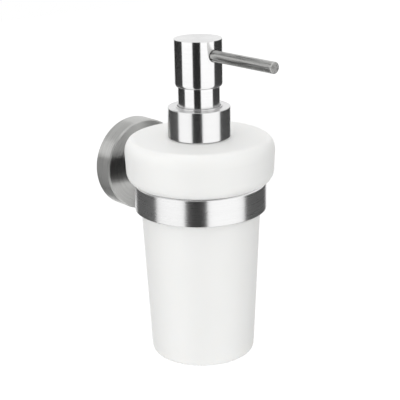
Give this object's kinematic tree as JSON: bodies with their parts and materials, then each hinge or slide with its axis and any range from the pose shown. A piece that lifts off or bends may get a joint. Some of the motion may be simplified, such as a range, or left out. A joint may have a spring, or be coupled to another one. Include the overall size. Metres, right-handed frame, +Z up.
{
  "type": "wall mounted soap dispenser",
  "caption": "Wall mounted soap dispenser: frosted opal glass vessel in a brushed steel ring on a round rosette, with a steel press pump and a straight thin spout.",
  "frame": {"origin": "centre of the wall bracket's back face, on the plane of the wall", "axes": "+Y into the wall, +Z up, the dispenser stands out from the wall towards -Y"},
  "size_m": [0.084, 0.1213, 0.1824],
  "materials": {
    "brushed_stainless": "stainless steel brushed round its own axis, satin",
    "polished_stainless": "turned and polished stainless steel, near mirror",
    "spout_stainless": "drawn stainless tube, brushed along its length",
    "bracket_zinc": "die-cast zinc, plain tumbled",
    "screw_steel": "stainless fastener steel, smooth",
    "opal_glass": "opal white glass, acid-etched satin",
    "white_plastic": "injection-moulded white polypropylene",
    "natural_plastic": "natural translucent polyethylene",
    "silicone": "translucent grey silicone"
  },
  "bodies": {
    "holder": {"wall_bracket": "bracket_zinc", "rosette": "brushed_stainless", "rosette_grub_screw": "screw_steel", "holder_arm": "brushed_stainless", "arm_screw": "screw_steel", "holder_ring": "brushed_stainless", "ring_screw": "screw_steel", "ring_liner": "natural_plastic"},
    "vessel": {"glass_vessel": "opal_glass", "neck_insert": "white_plastic"},
    "pump_body": {"pump_housing": "natural_plastic", "stem_guide": "white_plastic", "guide_sleeve": "polished_stainless", "dip_tube": "natural_plastic", "neck_gasket": "silicone", "return_spring": "screw_steel"},
    "closure": {"closure_nut": "white_plastic", "collar_shell": "polished_stainless"},
    "stem": {"pump_stem": "white_plastic"},
    "seal": {"piston_seal": "silicone"},
    "head": {"head_cap": "polished_stainless", "head_core": "white_plastic", "spout_tube": "spout_stainless"},
    "ball": {"check_ball": "screw_steel"}
  },
  "joints": [
    {"name": "vessel_lift", "type": "slide", "parent": "holder", "child": "vessel", "axis": [0, 0, 1], "range_m": [0, 0.105]},
    {"name": "pump_lift", "type": "slide", "parent": "vessel", "child": "pump_body", "axis": [0, 0, 1], "range_m": [0, 0.135]},
    {"name": "collar_turn", "type": "hinge", "parent": "pump_body", "child": "closure", "pos_m": [0, -0.062, 0.035], "axis": [0, 0, 1], "range_deg": [0, 540]},
    {"name": "head_press", "type": "slide", "parent": "pump_body", "child": "stem", "axis": [0, 0, -1], "range_m": [0, 0.0105], "stiffness_N_per_m": 500, "springref_m": -0.01, "deforming": ["return_spring"]},
    {"name": "spout_swivel", "type": "hinge", "parent": "stem", "child": "head", "pos_m": [0, -0.062, 0.0733], "axis": [0, 0, 1], "continuous": true},
    {"name": "seal_slip", "type": "slide", "parent": "stem", "child": "seal", "axis": [0, 0, 1], "range_m": [0, 0.0015]},
    {"name": "ball_lift", "type": "slide", "parent": "pump_body", "child": "ball", "axis": [0, 0, 1], "range_m": [0, 0.0015]}
  ]
}
